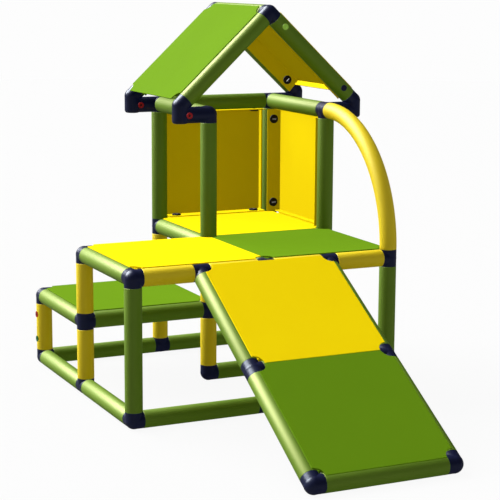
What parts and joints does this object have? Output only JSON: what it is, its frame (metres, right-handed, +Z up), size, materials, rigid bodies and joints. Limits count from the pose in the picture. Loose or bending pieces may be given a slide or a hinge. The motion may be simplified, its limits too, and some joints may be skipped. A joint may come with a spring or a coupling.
{
  "type": "playhouse climbing frame",
  "caption": "Toddler playhouse on a round-tube climbing frame, with tray-panel deck, step and walls, a pitched roof, a side arch and a ramp that lifts about the deck's front rail.",
  "frame": {"origin": "centre of the bounding box's bottom, on the floor that the toy stands on", "axes": "+Z up, +X to the right as seen from the ramp's foot, +Y from the ramp's foot to the back wall"},
  "size_m": [0.9442, 1.5465, 1.1512],
  "materials": {
    "green_tube": "smooth, slightly glossy blow-moulded plastic",
    "yellow_tube": "smooth, slightly glossy blow-moulded plastic",
    "green_panel": "satin moulded plastic with a fine grain",
    "yellow_panel": "satin moulded plastic with a fine grain",
    "blue_connector": "glossy dark blue moulded plastic",
    "black_screw": "satin black moulded plastic",
    "red_plug": "glossy red moulded plastic",
    "light_green_plug": "glossy light green moulded plastic",
    "dark_green_plug": "glossy dark green moulded plastic",
    "blue_plug": "glossy dark blue moulded plastic"
  },
  "bodies": {
    "frame": {"floor_tubes_front": "green_tube", "floor_tubes_left": "green_tube", "floor_tubes_back": "green_tube", "floor_tubes_right": "green_tube", "floor_tube_middle": "green_tube", "front_legs": "green_tube", "rear_legs": "green_tube", "step_posts_left": "yellow_tube", "step_posts_right": "yellow_tube", "step_rails": "green_tube", "deck_front_rail": "yellow_tube", "deck_side_rails": "green_tube", "deck_rear_rails": "green_tube", "house_floor_rails": "green_tube", "house_posts": "green_tube", "house_top_rails": "green_tube", "arch_tube": "yellow_tube", "ridge_tube": "green_tube", "gable_tubes_front": "green_tube", "gable_tubes_back": "green_tube", "floor_corner_connectors": "blue_connector", "floor_elbow_connector": "blue_connector", "floor_tee_connectors": "blue_connector", "floor_side_connector": "blue_connector", "floor_straight_connector": "blue_connector", "step_corner_connector": "blue_connector", "step_side_connectors": "blue_connector", "deck_corner_connectors": "blue_connector", "deck_rail_connector": "blue_connector", "arch_foot_connector": "blue_connector", "house_corner_connectors": "blue_connector", "house_door_connector": "blue_connector", "house_side_connector": "blue_connector", "roof_feet_left": "blue_connector", "roof_feet_right": "blue_connector", "roof_apex_connectors": "blue_connector", "step_panel": "green_panel", "deck_panel_left": "yellow_panel", "deck_panel_right": "green_panel", "house_floor_panel": "yellow_panel", "back_wall": "yellow_panel", "side_wall": "yellow_panel", "roof_panel_left": "green_panel", "roof_panel_right": "yellow_panel", "floor_panel_screws": "black_screw", "wall_screws": "black_screw", "roof_screws": "black_screw", "red_plugs": "red_plug", "light_green_plug": "light_green_plug", "dark_green_plug": "dark_green_plug", "blue_plug": "blue_plug"},
    "ramp": {"ramp_side_tubes": "green_tube", "ramp_cross_tubes": "green_tube", "ramp_rail_tees": "blue_connector", "ramp_middle_tees": "blue_connector", "ramp_corner_connectors": "blue_connector", "ramp_panel_upper": "yellow_panel", "ramp_panel_lower": "green_panel", "ramp_screws": "black_screw"}
  },
  "joints": [
    {"name": "ramp_tilt", "type": "hinge", "parent": "frame", "child": "ramp", "pos_m": [-0.04562, -0.05524, 0.4252], "axis": [-1, 0, 0], "range_deg": [0, 28]}
  ]
}
